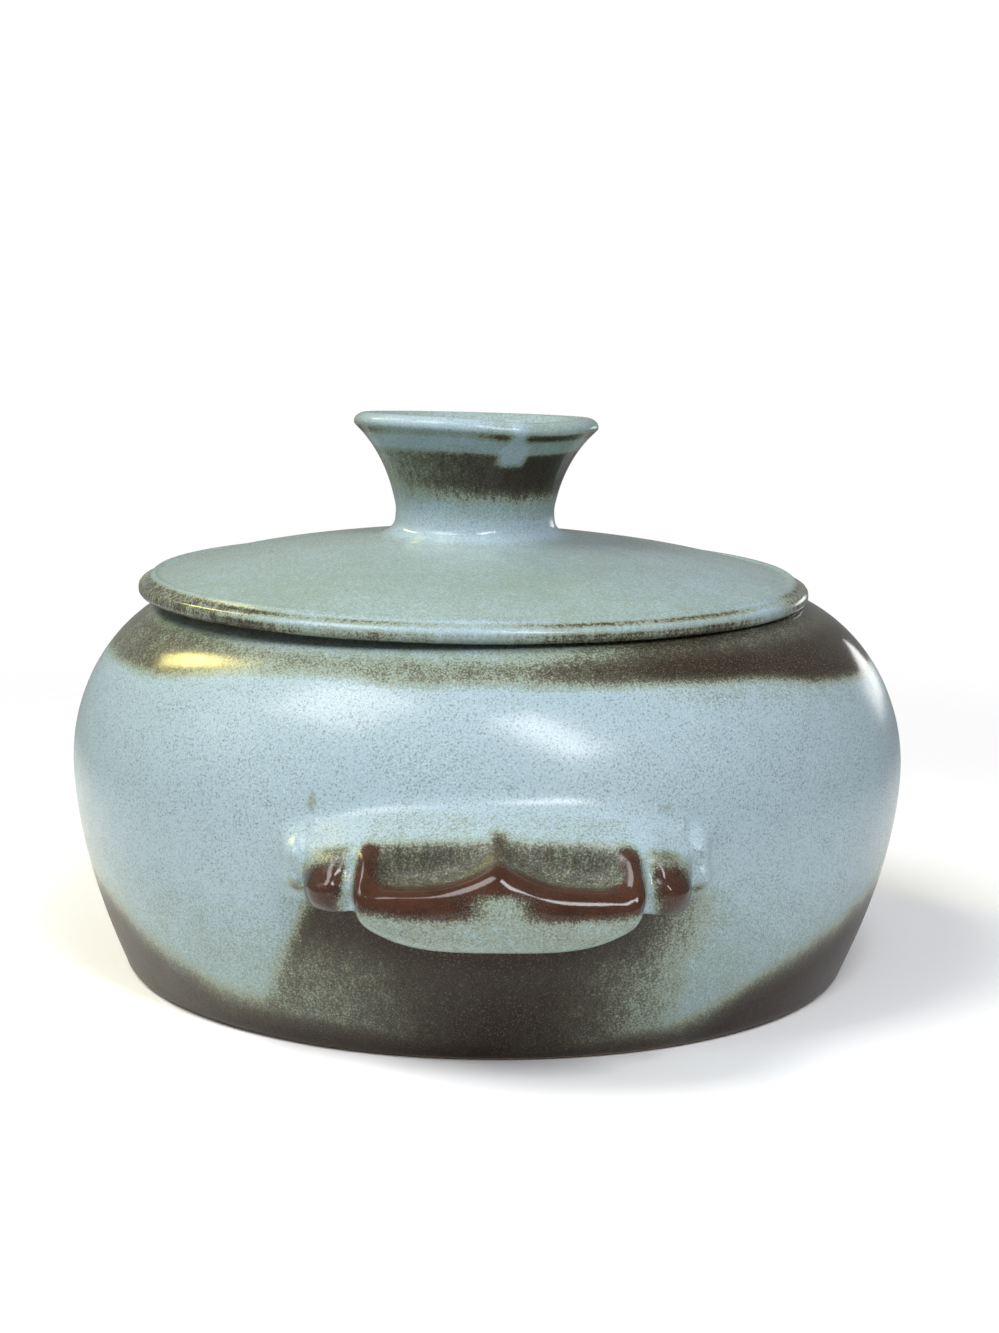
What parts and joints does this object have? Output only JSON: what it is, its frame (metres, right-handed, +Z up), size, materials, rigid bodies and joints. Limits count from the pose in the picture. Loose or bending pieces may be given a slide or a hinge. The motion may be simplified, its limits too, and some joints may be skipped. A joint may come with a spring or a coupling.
{
  "type": "casserole dish",
  "caption": "Squat round stoneware casserole with moulded lug handles and a lift-off domed lid with a flared hollow knob, in a speckled blue-green glaze that breaks to brown.",
  "frame": {"origin": "on the table, under the middle of the bowl", "axes": "+Z up; the lug handles lie on the Y axis, with the front handle on the -Y side"},
  "size_m": [0.23, 0.275, 0.1535],
  "materials": {
    "bowl": "gloss",
    "front_handle": "gloss",
    "back_handle": "gloss",
    "lid": "gloss",
    "lid_knob": "gloss"
  },
  "bodies": {
    "dish": {"bowl": "bowl", "front_handle": "front_handle", "back_handle": "back_handle"},
    "lid_body": {"lid": "lid", "lid_knob": "lid_knob"}
  },
  "joints": [
    {"name": "lid_lift", "type": "slide", "parent": "dish", "child": "lid_body", "axis": [0, 0, 1], "range_m": [0, 0.12]}
  ]
}
